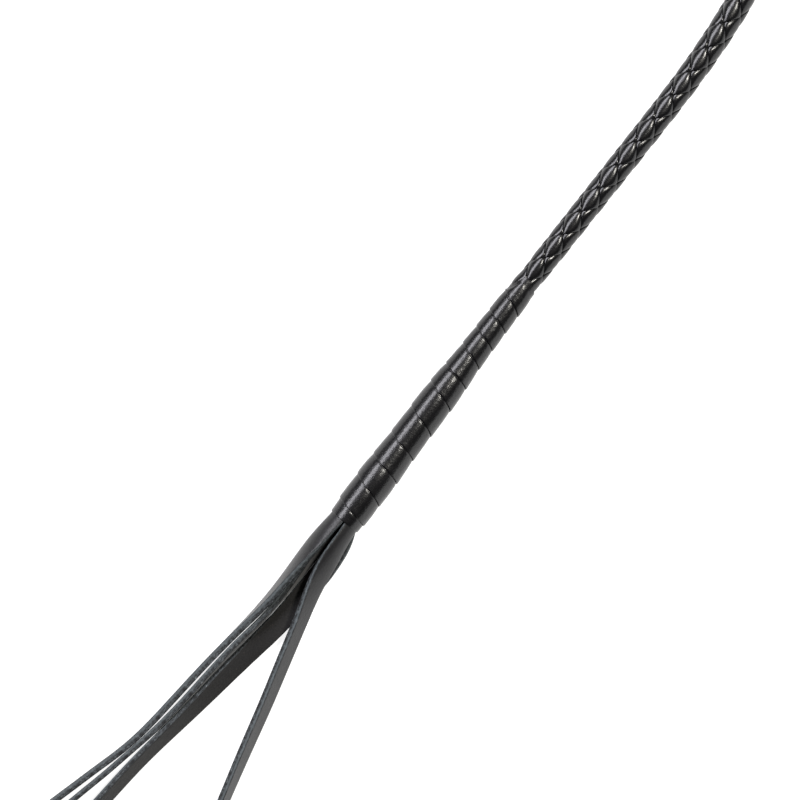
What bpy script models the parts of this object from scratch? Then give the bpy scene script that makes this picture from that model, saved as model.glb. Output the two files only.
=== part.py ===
"""Braided leather riding crop with four cut leather tails.

The crop lies on a flat surface (z = 0), tails toward -X, handle along +X.
Build, from the inside out:
  core_rod            springy tapered rod that runs the whole shaft
  tip_bolster         leather sleeve that builds the rod up where the tails sit
  braid_strand_1..6   six leather strands, plaited one over one under
  braid_seizing       thread band that ties off the ends of the plait
  tail_N_root         the part of tail N that is laid round the bolster
  tail_lashing        thread band that ties the four roots down
  tail_wrap           thin leather strip wound over roots and plait end
  tail_1..4           the free lengths of the four tails
  grip_core, grip_wrap, grip_collar, butt_cap   the handle
  wrist_loop, loop_rivet_left, loop_rivet_right the hand loop and its pivots

Metres, +Z up.  's' is the distance along the shaft from the mouth of the tail
wrap toward the handle.
"""
import bpy
import bmesh
import math
import numpy as np
from mathutils import Vector

MM = 0.001

# ------------------------------------------------------------------ dimensions
ORIGIN_X = 211.155            # mm, moves the box centre to the origin
ORIGIN_Y = 3.576

SHAFT_TILT = -9.0             # degrees, the lower shaft against the handle
AXIS_Z = 7.97                 # height of the shaft axis at the wrap mouth
AXIS_RISE = 0.00418           # rise of the axis per mm toward the handle

WRAP_TURNS_S = [117.8, 108.9, 100.1, 91.4, 82.6, 72.7, 62.6, 49.9,
                37.4, 26.0, 15.1, 4.0, -6.6]   # lower edge of each turn, on top
WRAP_MOUTH_S = -1.0
WRAP_LAP = 2.5                # how far a turn reaches under the one above
WRAP_T = 0.45
WRAP_GAP = 0.16
WRAP_BUILD = 1.05             # base radius to outside of the lap
# (s, outside radius)
WRAP_R = [(-2, 7.35), (0, 7.45), (6, 7.76), (14, 7.8), (22, 8.05), (30, 7.6),
          (42, 7.3), (54, 7.38), (62, 7.36), (66, 7.16), (70, 7.0), (74, 6.65),
          (78, 6.35), (86, 6.1), (94, 5.95), (102, 5.8), (110, 5.75),
          (122, 5.7)]

BRAID_START = 90.0
BRAID_END = 341.0
BRAID_LAY = 35.4              # one full turn of a strand
BRAID_SHIFT = 1.6             # moves the crossings along the shaft
BRAID_PHASE = math.radians(19.0)
BRAID_R = [(85, 4.4), (100, 4.46), (122, 4.48), (132, 4.75), (180, 4.9),
           (222, 5.0), (262, 5.2), (345, 5.5)]
STRAND_T = 0.8
STRAND_STEP = 1.7            # over strand to under strand, middle to middle
STRAND_FILL = 0.71            # share of the lattice cell a strand covers

ROD_START, ROD_END = 2.0, 504.0
BOLSTER_START, BOLSTER_END = 4.0, 80.0

TAIL_W = 8.8
ROOT_END = 74.0

COLLAR_START, COLLAR_END = 333.0, 352.0
GRIP_START, GRIP_END = 353.0, 490.6
GRIP_PITCH = 13.0
GRIP_T = 0.9
CAP_START, CAP_END = 491.0, 512.0
CAP_R = 10.0
RIVET_S = 502.0
LOOP_W, LOOP_T = 9.0, 1.8
LOOP_REACH = 140.0
LOOP_DROOP = 2.1              # degrees below level at rest


# ------------------------------------------------------------------ clean start
for old in list(bpy.data.objects):
    bpy.data.objects.remove(old, do_unlink=True)
for old in list(bpy.data.collections):
    bpy.data.collections.remove(old)
parts = bpy.data.collections.new("riding_crop")
cutters = bpy.data.collections.new("cutters")
bpy.context.scene.collection.children.link(parts)
bpy.context.scene.collection.children.link(cutters)


# ------------------------------------------------------------------ small tools
def table(pairs, x):
    xs = [p[0] for p in pairs]
    ys = [p[1] for p in pairs]
    return float(np.interp(x, xs, ys))


def smooth(pairs, span, lo, hi):
    """Piecewise-linear stations rounded off over `span` mm."""
    n = int((hi - lo) * 2) + 1
    xs = np.linspace(lo, hi, n)
    ys = np.interp(xs, [p[0] for p in pairs], [p[1] for p in pairs])
    k = max(1, int(span * 2))
    for _ in range(2):
        pad = np.concatenate([2 * ys[0] - ys[k:0:-1], ys, 2 * ys[-1] - ys[-2:-k - 2:-1]])
        ys = np.convolve(pad, np.ones(2 * k + 1) / (2 * k + 1), mode="valid")
    return xs, ys


def ramp(x, a, b):
    t = min(1.0, max(0.0, (x - a) / (b - a)))
    return t * t * (3 - 2 * t)


def material(name, colour, rough, metal=0.0):
    m = bpy.data.materials.new(name)
    m.use_nodes = True
    b = m.node_tree.nodes["Principled BSDF"]
    b.inputs["Base Color"].default_value = (colour[0], colour[1], colour[2], 1)
    b.inputs["Roughness"].default_value = rough
    b.inputs["Metallic"].default_value = metal
    return m


def add(name, mesh, mat, at=(0, 0, 0), collection=None):
    o = bpy.data.objects.new(name, mesh)
    o.location = at
    (collection or parts).objects.link(o)
    if mat:
        mesh.materials.append(mat)
    return o


def shade(o):
    o.data.shade_smooth()
    o.data.set_sharp_from_angle(angle=math.radians(38))


def sheet(name, nu, nv, place, thick, mat, pivot=(0, 0, 0), offset=0.0, crease=False):
    """A grid of nu by nv cells; place(u, v) gives each point, u and v 0..1.
    Solidify gives it its thickness.  With crease, each cell is folded along
    the diagonal that runs from its low corner to its high one."""
    bm = bmesh.new()
    bmesh.ops.create_grid(bm, x_segments=nu, y_segments=nv, size=0.5)
    p0 = Vector(pivot)
    if crease:
        for f in list(bm.faces):
            vs = sorted(f.verts, key=lambda w: w.co.x + w.co.y)
            bmesh.utils.face_split(f, vs[0], vs[-1])
    for v in bm.verts:
        v.co = Vector(place(v.co.x + 0.5, v.co.y + 0.5)) * MM - p0
    bmesh.ops.recalc_face_normals(bm, faces=bm.faces)
    mesh = bpy.data.meshes.new(name)
    bm.to_mesh(mesh)
    bm.free()
    o = add(name, mesh, mat, pivot)
    s = o.modifiers.new("thickness", "SOLIDIFY")
    s.thickness = thick * MM
    s.offset = offset
    s.use_even_offset = False
    shade(o)
    return o


# ------------------------------------------------------------------ shaft line
HEADING = [(0, 0.2), (100, 0.0), (120, -0.8), (190, -1.0), (215, 0.0),
           (232, 2.2), (252, 5.8), (270, 8.6), (285, 9.0), (600, 9.0)]
S_GRID = np.arange(-40.0, 560.0, 0.5)
_h = np.radians([SHAFT_TILT + table(HEADING, max(0.0, s)) for s in S_GRID])
_i0 = int(np.argmin(np.abs(S_GRID)))
_x = np.concatenate([[0], np.cumsum(0.25 * (np.cos(_h[1:]) + np.cos(_h[:-1])))])
_y = np.concatenate([[0], np.cumsum(0.25 * (np.sin(_h[1:]) + np.sin(_h[:-1])))])
_x -= _x[_i0]
_y -= _y[_i0]
TILT = math.radians(SHAFT_TILT)


def low(x, y, z):
    """Point given along (x) and across (y) the lower shaft, in mm."""
    return (x * math.cos(TILT) - y * math.sin(TILT) - ORIGIN_X,
            x * math.sin(TILT) + y * math.cos(TILT) - ORIGIN_Y, z)


_bx, _by, _ = low(0, 0.2, 0)


def shaft(s, r=0.0, ang=0.0):
    """Point at distance s, radius r, angle ang from the left side (+Y)
    up over the top (90 degrees) to the right side."""
    hx = float(np.interp(s, S_GRID, _h))
    cx = float(np.interp(s, S_GRID, _x)) + _bx
    cy = float(np.interp(s, S_GRID, _y)) + _by
    cz = AXIS_Z + AXIS_RISE * s
    q = r * math.cos(ang)
    return (cx - q * math.sin(hx), cy + q * math.cos(hx), cz + r * math.sin(ang))


def sleeve(name, profile, mat, n, closed=False):
    """A turned piece on the shaft line: the profile is (s, radius), and the
    ring is carried along the line so that it follows its gentle bend."""
    pts = list(profile)
    rows = len(pts)
    bm = bmesh.new()
    bmesh.ops.create_grid(bm, x_segments=n, y_segments=rows - 1, size=0.5)
    for v in bm.verts:
        i = int(round((v.co.y + 0.5) * (rows - 1)))
        j = int(round((v.co.x + 0.5) * n)) % n
        s, r = pts[i]
        v.co = Vector(shaft(s, r, 2 * math.pi * j / n)) * MM
    bmesh.ops.remove_doubles(bm, verts=bm.verts, dist=1e-6)
    if closed:
        ends = [e for e in bm.edges if e.is_boundary]
        bmesh.ops.holes_fill(bm, edges=ends, sides=0)
    bmesh.ops.recalc_face_normals(bm, faces=bm.faces)
    mesh = bpy.data.meshes.new(name)
    bm.to_mesh(mesh)
    bm.free()
    o = add(name, mesh, mat)
    shade(o)
    return o


def ring_profile(s0, s1, r_in, r_out, bevel):
    return [(s0, r_in), (s0, r_out - bevel), (s0 + bevel, r_out),
            (s1 - bevel, r_out), (s1, r_out - bevel), (s1, r_in), (s0, r_in)]


# ------------------------------------------------------------------ core rod
def rod_r(s):
    return 1.45 + 1.0 * ramp(s, 0, 420)


rod_mat = material("core_rod_steel", (0.32, 0.32, 0.33), 0.35, 1.0)
rod_rows = [ROD_START] + list(np.arange(30, 220, 40.0)) + \
    [222, 232, 242, 252, 262, 272, 284, 340, 420, ROD_END]
sleeve("core_rod", [(s, rod_r(s)) for s in rod_rows], rod_mat, 10, closed=True)

# ------------------------------------------------------------------ bolster
bolster_mat = material("tip_bolster_leather", (0.10, 0.075, 0.06), 0.8)
bol = [(BOLSTER_START, 1.85), (BOLSTER_START, 3.05), (48, 3.05), (58, 2.6),
       (BOLSTER_END, 2.3), (BOLSTER_END, 1.9), (BOLSTER_START, 1.85)]
sleeve("tip_bolster", bol, bolster_mat, 14)

# ------------------------------------------------------------------ plait
ARMS = 3                       # strands each way


def braid_r(s):
    return table(BRAID_R, s)


def strand(i, way, mat):
    """Strand i that turns `way` (+1 or -1).  a is the lattice number across
    the strand, b counts the crossings along it; the strand is over where
    i + crossing is even for way +1, and odd for way -1."""
    half = BRAID_LAY / (2 * ARMS)
    n0 = math.ceil((BRAID_START - BRAID_SHIFT) / half + 0.5)
    n1 = math.floor((BRAID_END - BRAID_SHIFT) / half - 0.5)
    # crossings along this strand lie where a and b are both whole numbers,
    # s = (a + b) * half + BRAID_SHIFT;  a = i for this strand
    rows = []
    for m in range(n0 - 1, n1 + 2):
        b = m - i
        s_mid = m * half + BRAID_SHIFT
        if s_mid < BRAID_START + 0.6 * half or s_mid > BRAID_END - 0.6 * half:
            continue
        for e in (-0.5, 0.5):
            rows.append((b + e * STRAND_FILL, b))
    def place(u, v):
        k = int(round(u * (len(rows) - 1)))
        b, cell = rows[k]
        a = i + (v - 0.5) * STRAND_FILL
        s = (a + b) * half + BRAID_SHIFT
        turn = (a - b) * math.pi / ARMS          # a runs one way, b the other
        if way > 0:
            over = (i + cell) % 2 == 0
        else:
            over = (i + cell) % 2 == 1
        r = braid_r(s) - STRAND_T / 2 - (0 if over else STRAND_STEP)
        return shaft(s, r, way * turn + BRAID_PHASE)
    return rows, place


for k in range(2 * ARMS):
    way = 1 if k < ARMS else -1
    m = material("braid_leather_%d" % (k + 1), (0.022, 0.021, 0.023), 0.36)
    rows, place = strand(k % ARMS, way, m)
    sheet("braid_strand_%d" % (k + 1), len(rows) - 1, 1, place, STRAND_T, m, crease=True)

# ------------------------------------------------------------------ thread bands
thread_mat = material("thread_black", (0.03, 0.03, 0.032), 0.7)


def thread_band(name, s0, turns, gauge, base, mat):
    """Turns of thread side by side, as one ribbed ring on radius base(s)."""
    prof = [(s0, base(s0))]
    for i in range(turns):
        a = s0 + i * gauge
        if i:
            prof.append((a, base(a) + 0.45 * gauge))
        else:
            prof.append((a, base(a) + 0.3 * gauge))
        prof.append((a + 0.5 * gauge, base(a) + 0.95 * gauge))
    e = s0 + turns * gauge
    prof += [(e, base(e) + 0.3 * gauge), (e, base(e)), (s0, base(s0))]
    return sleeve(name, prof, mat, 16)


# ------------------------------------------------------------------ tails
def wrap_base(s):
    return table(WRAP_R, s) - WRAP_BUILD


LASH_START, LASH_TURNS, LASH_GAUGE = 60.4, 7, 0.8


def root_outer(s):
    inside = ramp(s, 57, 59.5) * (1 - ramp(s, 67, 69.5))
    return wrap_base(s) - 0.34 - 1.15 * inside


def root_thick(s, t):
    return t * (1 - 0.5 * ramp(s, 46, ROOT_END))


TAIL_T = {1: 2.7, 2: 2.5, 3: 2.3, 4: 2.3}
ROOT_ROWS = [-0.8, 7, 14, 22, 30, 38, 46, 53, 57, 59.5, 67, 69.5, ROOT_END]
QUAD = {1: 45.0, 2: 135.0, 3: 225.0, 4: 315.0}   # middle of each tail, degrees

for k in (1, 2, 3, 4):
    m = material("tail_leather_root_%d" % k, (0.05, 0.048, 0.05), 0.55)

    def place(u, v, k=k):
        s = ROOT_ROWS[int(round(u * (len(ROOT_ROWS) - 1)))]
        t = root_thick(s, TAIL_T[k])
        r = root_outer(s) - t / 2
        width = 2 * math.pi * r / 4 - 0.4 - 0.25 * t - 1.6 * ramp(s, 50, ROOT_END)
        ang = math.radians(QUAD[k]) + (v - 0.5) * width / r
        return shaft(s, r, ang)

    o = sheet("tail_%d_root" % k, len(ROOT_ROWS) - 1, 4, place, TAIL_T[k], m)
    # the skived upper end: thinner toward the handle
    g = o.vertex_groups.new(name="skive")
    for vert in o.data.vertices:
        co = vert.co
        # nearest distance along the shaft, from the grid itself
        sx = (co.x / MM + ORIGIN_X) * math.cos(TILT) + (co.y / MM + ORIGIN_Y) * math.sin(TILT)
        g.add([vert.index], root_thick(sx, 1.0), "REPLACE")
    o.modifiers["thickness"].vertex_group = "skive"

thread_band("tail_lashing", LASH_START, LASH_TURNS, LASH_GAUGE,
            lambda s: root_outer(s) + 0.2, thread_mat)
seize_mat = material("thread_seizing", (0.03, 0.03, 0.032), 0.7)
# the band on the plait's own end: a plain tight ring just below the strands
thread_band("braid_seizing", 82.4, 5, 1.1, lambda s: 3.3, seize_mat)

# free tails.  Stations: x along the lower shaft (negative, away from the
# wrap), y to the left, z up, roll = direction of the face that lay outward,
# degrees from +y toward +z, and curl = how much of the round of the wrap is
# left in the section (1 at the mouth, 0 flat).
TAILS = {
    1: [(-1.6, 3.75, 11.8, 45, 1.0), (-10, 4.6, 12.2, 40, 0.7),
        (-20, 5.05, 11.6, 27, 0.4), (-30, 5.0, 9.6, 17, 0.2),
        (-40, 4.95, 7.4, 8, 0.0), (-50, 5.65, 6.0, 3, 0), (-65, 7.6, 4.9, 0, 0),
        (-80, 9.45, 4.6, 0, 0), (-100, 11.3, 4.6, 0, 0), (-120, 13.6, 4.6, 0, 0),
        (-130, 15.7, 4.6, 0, 0), (-140, 18.6, 4.6, 0, 0), (-150, 21.3, 4.6, 0, 0),
        (-160, 24.2, 4.6, 0, 0), (-185, 31.0, 4.6, 0, 0), (-212, 37.5, 4.6, 0, 0)],
    2: [(-1.6, -3.4, 11.7, 135, 1.0), (-10, -4.0, 12.0, 135, 0.7),
        (-20, -4.85, 11.2, 130, 0.4), (-30, -6.45, 9.9, 141, 0.2),
        (-40, -9.3, 8.1, 149, 0.0), (-50, -11.95, 6.3, 151, 0),
        (-60, -14.5, 5.3, 151, 0), (-70, -17.25, 4.95, 152.5, 0),
        (-80, -19.85, 4.8, 154, 0), (-100, -24.65, 4.75, 157, 0),
        (-117, -29.0, 4.65, 161, 0), (-150, -37.4, 4.6, 165, 0),
        (-185, -46.0, 4.55, 170, 0), (-212, -51.5, 4.5, 172, 0)],
    3: [(-1.6, -3.35, 4.5, 225, 1.0), (-10, -4.8, 3.7, 235, 0.7),
        (-20, -5.4, 2.75, 252, 0.45), (-30, -5.0, 2.2, 266, 0.2),
        (-40, -4.6, 2.0, 276, 0), (-50, -3.9, 2.45, 283, 0),
        (-60, -2.6, 3.2, 296, 0), (-70, -1.2, 3.75, 305, 0),
        (-80, 0.1, 4.0, 310, 0), (-90, 1.35, 4.25, 317, 0),
        (-100, 2.6, 4.45, 323, 0), (-110, 4.0, 4.55, 327, 0),
        (-120, 5.6, 4.6, 329, 0), (-130, 7.1, 4.65, 330, 0),
        (-140, 8.2, 4.65, 330, 0), (-160, 9.8, 4.65, 331, 0),
        (-185, 11.0, 4.65, 332, 0), (-212, 12.0, 4.65, 332, 0)],
    4: [(-1.6, 3.8, 4.4, 315, 1.0), (-10, 2.8, 4.15, 322, 0.5),
        (-20, 1.6, 4.6, 344, 0.1), (-30, 1.55, 4.6, 352, 0.0),
        (-40, 1.7, 4.6, 358, 0), (-50, 2.5, 4.6, 358, 0),
        (-65, 4.6, 4.6, 358, 0), (-80, 6.0, 4.6, 358, 0),
        (-100, 7.65, 4.6, 358, 0), (-110, 8.95, 4.6, 358, 0),
        (-120, 10.7, 4.6, 358, 0), (-130, 12.75, 4.6, 358, 0),
        (-140, 14.7, 4.6, 358, 0), (-150, 17.2, 4.6, 358, 0),
        (-185, 25.0, 4.6, 358, 0), (-212, 30.0, 4.6, 358, 0)],
}
TAIL_X0, TAIL_X1 = -1.6, -212.0


def tail_line(k):
    st = TAILS[k][::-1]
    cols = []
    for c in range(1, 5):
        xs, ys = smooth([(p[0], p[c]) for p in st], 4.0, TAIL_X1, TAIL_X0)
        cols.append(ys)
    return xs, cols


def tail_point(line, k, x, v):
    """v is -0.5..0.5 across the strip, toward rising roll."""
    xs, (ys, zs, rolls, curls) = line
    y, z = np.interp(x, xs, ys), np.interp(x, xs, zs)
    roll = math.radians(np.interp(x, xs, rolls))
    curl = max(0.0, float(np.interp(x, xs, curls)))
    w = TAIL_W - 1.85 * (1 - ramp(-x, 1.6, 22))
    w *= 1.0 - 0.12 * ramp(-x, 185, 212)
    ny, nz = math.cos(roll), math.sin(roll)
    dy, dz = -nz, ny
    q = v * w
    k_ = curl / 5.1
    if k_ > 1e-4:
        across, drop = math.sin(k_ * q) / k_, (1 - math.cos(k_ * q)) / k_
    else:
        across, drop = q, 0.0
    return low(x, y + dy * across - ny * drop, z + dz * across - nz * drop)


PIVOT_R = 6.6
for k in (1, 2, 3, 4):
    m = material("tail_leather_%d" % k, (0.05, 0.048, 0.05), 0.5)
    line = tail_line(k)
    turn = math.radians(QUAD[k])
    if k == 4:
        pivot = low(TAIL_X0, 0.2, AXIS_Z - PIVOT_R)
    else:
        pivot = low(TAIL_X0, 0.2 + PIVOT_R * math.cos(turn), AXIS_Z + PIVOT_R * math.sin(turn))
    pivot = tuple(c * MM for c in pivot)
    rows = [0, 3, 6, 10, 14, 18, 22, 26, 30, 35, 40, 45, 50, 55, 60, 66, 72, 78, 85,
            92, 99, 106, 113, 120, 127, 134, 141, 148, 156, 166, 176, 188, 200, 212]
    rows = [TAIL_X0 + (TAIL_X1 - TAIL_X0) * r / 212 for r in rows]

    def place(u, v, line=line, k=k):
        x = rows[int(round(u * (len(rows) - 1)))]
        return tail_point(line, k, x, v - 0.5)

    sheet("tail_%d" % k, len(rows) - 1, 4, place, TAIL_T[k], m, pivot)


# ------------------------------------------------------------------ wound strips
def edge(k):
    """Lower edge of wrap turn k on the top of the shaft; k = 0 is the first
    turn that laps another."""
    return float(np.interp(k, range(-1, len(WRAP_TURNS_S) - 1), WRAP_TURNS_S))


def wrap_lower(k):
    e = edge(k) if k > -1 else WRAP_TURNS_S[0] + 8.9 * (-1 - k)
    return max(e, WRAP_MOUTH_S)


def wrap_upper(k):
    e = edge(k - 1) if k > 0 else WRAP_TURNS_S[0] + 8.9 * (-k)
    full = e + (WRAP_LAP if k > 0.5 else 0.3 + 2.2 * ramp(k, -0.1, 0.5))
    if k < 0:
        # cut to a point behind the shaft
        lowk = wrap_lower(k)
        f = ramp(k, -0.62, -0.05)
        full = lowk + (full - lowk) * (0.18 + 0.82 * f)
    # a turn ends under the one above, and its own edge never passes it
    return max(full, wrap_lower(k) + 1.2)


# The lap is full at the lower edge and gone WRAP_LAP above it.
def wrap_lap(k, s):
    a = wrap_lower(k)
    return 1.0 - ramp(s, a + WRAP_LAP + 0.15, a + WRAP_LAP + 2.4)


wrap_mat = material("tail_wrap_leather", (0.03, 0.028, 0.032), 0.42)


def wrap_strip():
    k0, k1, per = -0.62, 11.2, 14
    n = int(round((k1 - k0) * per))

    def place(u, v):
        k = k0 + (k1 - k0) * u
        a, b = wrap_lower(k), wrap_upper(k)
        j = int(round(v * 3))
        stops = [a, a + WRAP_LAP + 0.15, a + WRAP_LAP + 2.2, b]
        if b < stops[2] + 0.4:
            stops = [a, a + (b - a) / 3, a + 2 * (b - a) / 3, b]
        s = stops[j]
        rise = wrap_lap(k, s)
        if stops[1] < a + WRAP_LAP:
            rise = 0.0 if k > 5 else wrap_lap(k, a)
        rise *= 1 - ramp(k, 10.15, 10.4)
        r = wrap_base(s) + WRAP_T / 2 + rise * (WRAP_T + WRAP_GAP)
        return shaft(s, r, math.pi / 2 + 2 * math.pi * k)

    return sheet("tail_wrap", n, 3, place, WRAP_T, wrap_mat)


wrap_strip()

# ------------------------------------------------------------------ handle
collar_mat = material("grip_collar_leather", (0.03, 0.028, 0.03), 0.45)
collar = [(COLLAR_START, 5.85), (COLLAR_START, 7.0), (COLLAR_START + 1.6, 8.3),
          (COLLAR_START + 8, 9.0), (COLLAR_END - 3, 9.2), (COLLAR_END, 8.4),
          (COLLAR_END, 6.9), (343.0, 6.9), (343.0, 5.85), (COLLAR_START, 5.85)]
sleeve("grip_collar", collar, collar_mat, 24)

core_mat = material("grip_core_leather", (0.12, 0.085, 0.06), 0.8)
CORE_R = [(343.4, 6.6), (353, 6.6), (385, 8.0), (430, 8.5), (491, 8.5)]
core = [(343.4, 2.9)] + [(s, r) for s, r in CORE_R[:-1]] + \
    [(490.6, 8.5), (490.6, 2.9), (343.4, 2.9)]
sleeve("grip_core", core, core_mat, 12)

grip_mat = material("grip_wrap_leather", (0.03, 0.028, 0.032), 0.45)


def grip_strip():
    turns = (GRIP_END - GRIP_START) / GRIP_PITCH
    per = 12                    # stations line up with the core's twelve sides
    k0 = -11 / 12
    n = int((turns - 0.05 - k0) * per)
    k1 = k0 + n / per

    def place(u, v):
        k = k0 + (k1 - k0) * u
        a = GRIP_END - (k + 1) * GRIP_PITCH
        b = a + GRIP_PITCH - 0.45
        a = max(a, GRIP_START)
        b = max(min(b, GRIP_END), a + 0.6)
        a = min(a, b - 0.6)
        s = a + (b - a) * v
        r = table(CORE_R, s) + 0.25 + GRIP_T / 2
        return shaft(s, r, math.pi / 2 + 2 * math.pi * k)

    return sheet("grip_wrap", n, 1, place, GRIP_T, grip_mat)


grip_strip()

# butt cap: a turned plug with a blind bore for the rod
cap_mat = material("butt_cap_plastic", (0.02, 0.02, 0.02), 0.35)
cap_c = shaft(CAP_START, 0, 0)
L = CAP_END - CAP_START
prof = [(L, 0.0), (L, CAP_R - 1.2), (L - 0.35, CAP_R - 0.35), (L - 1.2, CAP_R),
        (0.9, CAP_R), (0.0, CAP_R - 0.9), (0.0, 2.75), (14.0, 2.75), (14.0, 0.0)]
bm = bmesh.new()
verts = [bm.verts.new((r * MM, 0, z * MM)) for z, r in prof]
for a, b in zip(verts[:-1], verts[1:]):
    bm.edges.new((a, b))
mesh = bpy.data.meshes.new("butt_cap")
bm.to_mesh(mesh)
bm.free()
cap = add("butt_cap", mesh, cap_mat, tuple(c * MM for c in cap_c))
cap.rotation_euler = (0, math.pi / 2, 0)
sc = cap.modifiers.new("turn", "SCREW")
sc.axis = "Z"
sc.angle = 2 * math.pi
sc.steps = 32
sc.render_steps = 32
sc.use_merge_vertices = True
sc.merge_threshold = 0.00002
shade(cap)

rivet_c = Vector(shaft(RIVET_S, 0, 0)) * MM
for side, sign in (("left", 1), ("right", -1)):
    bm = bmesh.new()
    bmesh.ops.create_cone(bm, cap_ends=True, segments=20, radius1=1.75 * MM,
                          radius2=1.75 * MM, depth=8 * MM)
    mesh = bpy.data.meshes.new("rivet_hole_" + side)
    bm.to_mesh(mesh)
    bm.free()
    c = add("rivet_hole_" + side, mesh, None,
            tuple(rivet_c + Vector((0, sign * 9.7 * MM, 0))), cutters)
    c.rotation_euler = (math.pi / 2, 0, 0)
    c.hide_render = True
    c.display_type = "WIRE"
    b = cap.modifiers.new("hole_" + side, "BOOLEAN")
    b.operation = "DIFFERENCE"
    b.solver = "EXACT"
    b.object = c

    rm = material("loop_rivet_brass_" + side, (0.62, 0.46, 0.20), 0.3, 1.0)
    prof = [(13.75, 0.0), (13.65, 1.1), (13.3, 2.3), (12.75, 3.1), (12.4, 3.3),
            (12.4, 1.4), (6.3, 1.4), (6.0, 1.1), (6.0, 0.0)]
    bm = bmesh.new()
    verts = [bm.verts.new((r * MM, 0, z * MM)) for z, r in prof]
    for p, q in zip(verts[:-1], verts[1:]):
        bm.edges.new((p, q))
    mesh = bpy.data.meshes.new("loop_rivet_" + side)
    bm.to_mesh(mesh)
    bm.free()
    o = add("loop_rivet_" + side, mesh, rm, tuple(rivet_c))
    o.rotation_euler = (-sign * math.pi / 2, 0, 0)
    s_ = o.modifiers.new("turn", "SCREW")
    s_.axis = "Z"
    s_.angle = 2 * math.pi
    s_.steps = 16
    s_.render_steps = 16
    s_.use_merge_vertices = True
    s_.merge_threshold = 0.00002
    shade(o)

# ------------------------------------------------------------------ wrist loop
loop_mat = material("wrist_loop_leather", (0.03, 0.028, 0.03), 0.5)
END_R = 24.0
leg_p = [-4.5, -3.8, -2.4, 0.0, 3.0, 12.0, 24.0, 36.0, 48.0, 60.0, 72.0, 84.0, 98.0, 114.0]
LOOP = []
for p in leg_p:
    q = 11.2 + (END_R - 11.2) * ramp(p, 14, 84)
    hw = LOOP_W / 2
    if p < 0:
        hw = math.sqrt(max(LOOP_W ** 2 / 4 - p * p, 0.45 ** 2))
    LOOP.append((p, q, hw))
for i in range(1, 6):
    t = math.pi / 2 * i / 6
    LOOP.append((114.0 + (LOOP_REACH - 114.0) * math.sin(t), END_R * math.cos(t), LOOP_W / 2))
LOOP = LOOP + [(LOOP_REACH, 0.0, LOOP_W / 2)] + [(p, -q, h) for p, q, h in LOOP[::-1]]
droop = math.radians(-LOOP_DROOP)


def loop_point(u, v):
    p, q, hw = LOOP[int(round(u * (len(LOOP) - 1)))]
    w = (v - 0.5) * 2 * hw
    x = p * math.cos(droop) - w * math.sin(droop)
    z = p * math.sin(droop) + w * math.cos(droop)
    return (rivet_c.x / MM + x, rivet_c.y / MM + q, rivet_c.z / MM + z)


loop = sheet("wrist_loop", len(LOOP) - 1, 2, loop_point, LOOP_T, loop_mat, tuple(rivet_c))
bm = bmesh.new()
bmesh.ops.create_cone(bm, cap_ends=True, segments=20, radius1=1.75 * MM,
                      radius2=1.75 * MM, depth=30 * MM)
mesh = bpy.data.meshes.new("loop_hole")
bm.to_mesh(mesh)
bm.free()
c = add("loop_hole", mesh, None, tuple(rivet_c), cutters)
c.rotation_euler = (math.pi / 2, 0, 0)
c.hide_render = True
c.display_type = "WIRE"
b = loop.modifiers.new("holes", "BOOLEAN")
b.operation = "DIFFERENCE"
b.solver = "EXACT"
b.object = c
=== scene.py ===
import bpy
import bmesh
import math
import numpy as np
from mathutils import Vector, Matrix, noise


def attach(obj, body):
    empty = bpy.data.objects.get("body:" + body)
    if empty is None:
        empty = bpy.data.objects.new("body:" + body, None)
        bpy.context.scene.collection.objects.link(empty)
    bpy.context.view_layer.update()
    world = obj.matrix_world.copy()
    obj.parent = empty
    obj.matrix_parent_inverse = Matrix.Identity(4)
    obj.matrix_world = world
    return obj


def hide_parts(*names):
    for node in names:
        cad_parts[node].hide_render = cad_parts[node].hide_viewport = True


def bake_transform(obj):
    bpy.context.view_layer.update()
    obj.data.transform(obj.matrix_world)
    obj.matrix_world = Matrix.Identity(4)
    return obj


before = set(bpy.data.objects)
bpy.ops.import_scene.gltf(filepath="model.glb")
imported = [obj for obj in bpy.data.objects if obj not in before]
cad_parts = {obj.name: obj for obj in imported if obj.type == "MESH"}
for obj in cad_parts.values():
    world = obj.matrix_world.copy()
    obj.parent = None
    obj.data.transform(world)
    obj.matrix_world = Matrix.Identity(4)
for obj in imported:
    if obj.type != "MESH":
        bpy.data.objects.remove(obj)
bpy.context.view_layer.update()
MM = 0.001

# ------------------------------------------------------------ the shaft line
# The same line as the CAD part, in millimetres: s runs from the mouth of the
# tail wrap toward the handle; x, y along and across the lower shaft.
ORIGIN_X, ORIGIN_Y = 211.155, 3.576
TILT = math.radians(-9.0)
AXIS_Z, AXIS_RISE = 7.97, 0.00418
HEADING = [(0, 0.2), (100, 0.0), (120, -0.8), (190, -1.0), (215, 0.0),
           (232, 2.2), (252, 5.8), (270, 8.6), (285, 9.0), (600, 9.0)]
S_GRID = np.arange(-40.0, 560.0, 0.5)


def table(pairs, x):
    return float(np.interp(x, [p[0] for p in pairs], [p[1] for p in pairs]))


def ramp(x, a, b):
    t = min(1.0, max(0.0, (x - a) / (b - a)))
    return t * t * (3 - 2 * t)


def smooth(pairs, span, lo, hi, per=2):
    n = int(round((hi - lo) * per)) + 1
    xs = np.linspace(lo, hi, n)
    ys = np.interp(xs, [p[0] for p in pairs], [p[1] for p in pairs])
    k = max(1, int(round(span * per)))
    for _ in range(2):
        pad = np.concatenate([2 * ys[0] - ys[k:0:-1], ys, 2 * ys[-1] - ys[-2:-k - 2:-1]])
        ys = np.convolve(pad, np.ones(2 * k + 1) / (2 * k + 1), mode="valid")
    return xs, ys


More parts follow.
